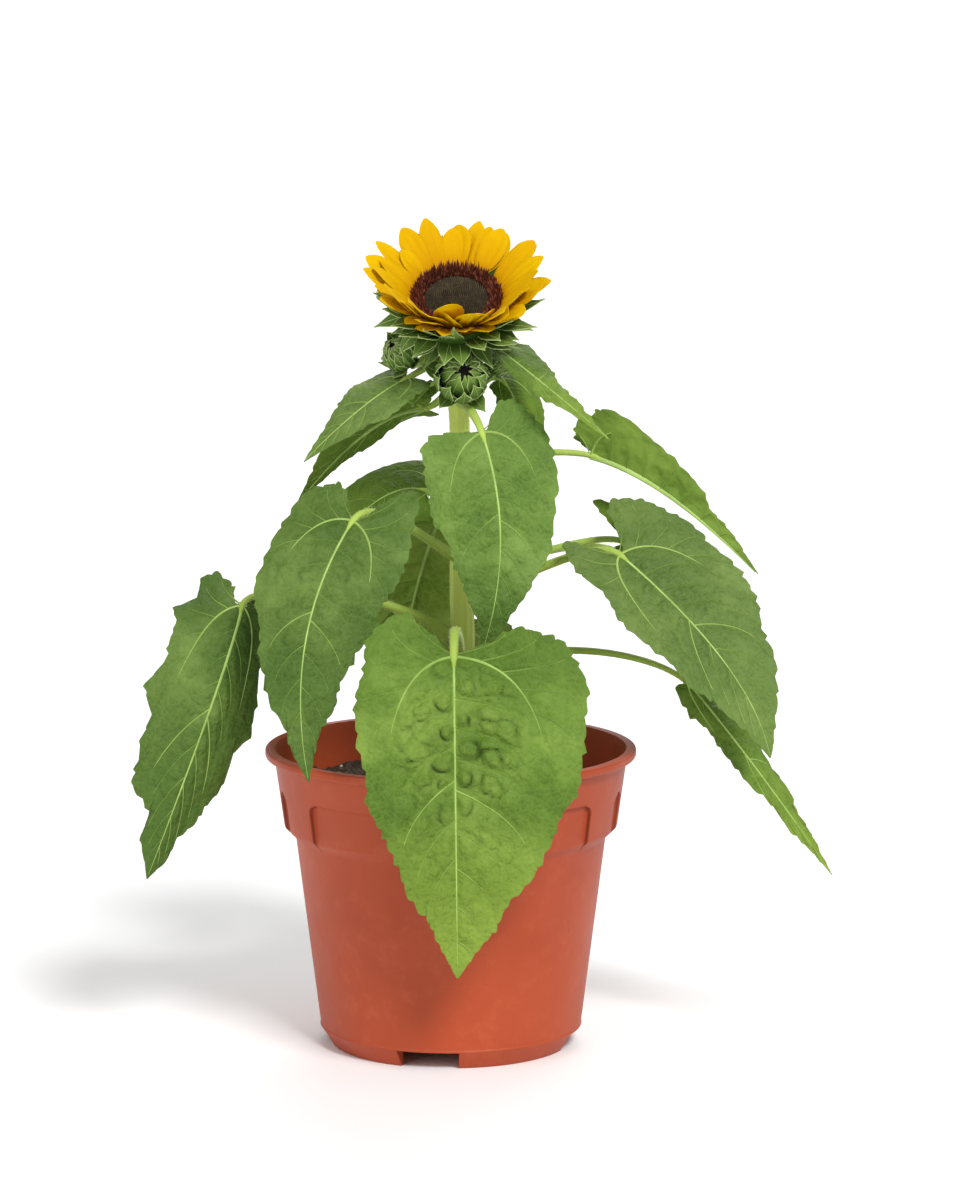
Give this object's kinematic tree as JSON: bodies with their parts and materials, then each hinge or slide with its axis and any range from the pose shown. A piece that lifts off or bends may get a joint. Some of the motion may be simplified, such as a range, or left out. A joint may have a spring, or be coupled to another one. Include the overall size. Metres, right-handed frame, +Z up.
{
  "type": "potted sunflower plant",
  "caption": "Dwarf sunflower plant with a yellow flower head, side buds and drooping heart-shaped leaves on an upright stem, growing in a round terracotta-coloured nursery pot.",
  "frame": {"origin": "centre of the underside of the pot, on the surface that the pot stands on", "axes": "+Z up along the pot's axis, -Y towards the side that the flower head faces, +X to the viewer's right when looking along +Y"},
  "size_m": [0.3137, 0.2236, 0.3788],
  "materials": {
    "pot": "satin",
    "compost": "matte",
    "stem": "satin",
    "leaf": "matte",
    "bract": "matte",
    "ray": "matte",
    "disc_rim": "matte",
    "disc": "matte"
  },
  "bodies": {
    "root": {"pot": "pot", "soil": "compost", "stem": "stem", "petiole_front_low": "stem", "leaf_front_low": "leaf", "petiole_front_high": "stem", "leaf_front_high": "leaf", "petiole_left_front": "stem", "leaf_left_front": "leaf", "petiole_left_low": "stem", "leaf_left_low": "leaf", "petiole_right_front": "stem", "leaf_right_front": "leaf", "petiole_right_low": "stem", "leaf_right_low": "leaf", "petiole_right_high": "stem", "leaf_right_high": "leaf", "petiole_upper_right": "stem", "leaf_upper_right": "leaf", "petiole_upper_right_back": "stem", "leaf_upper_right_back": "leaf", "petiole_upper_left": "stem", "leaf_upper_left": "leaf", "petiole_small_left": "stem", "leaf_small_left": "leaf", "petiole_left_high": "stem", "leaf_left_high": "leaf", "petiole_left_back": "stem", "leaf_left_back": "leaf", "petiole_back_centre": "stem", "leaf_back_centre": "leaf", "petiole_right_back": "stem", "leaf_right_back": "leaf", "petiole_back_high": "stem", "leaf_back_high": "leaf", "petiole_back_left": "stem", "leaf_back_left": "leaf", "petiole_back_right": "stem", "leaf_back_right": "leaf", "petiole_back_low": "stem", "leaf_back_low": "leaf", "bud_stalk_front": "stem", "bud_front": "bract", "bud_stalk_left": "stem", "bud_left": "bract", "bud_stalk_right": "stem", "bud_right": "bract", "flower_receptacle": "bract", "flower_rays": "ray", "flower_disc_rim": "disc_rim", "flower_disc": "disc"}
  },
  "joints": []
}
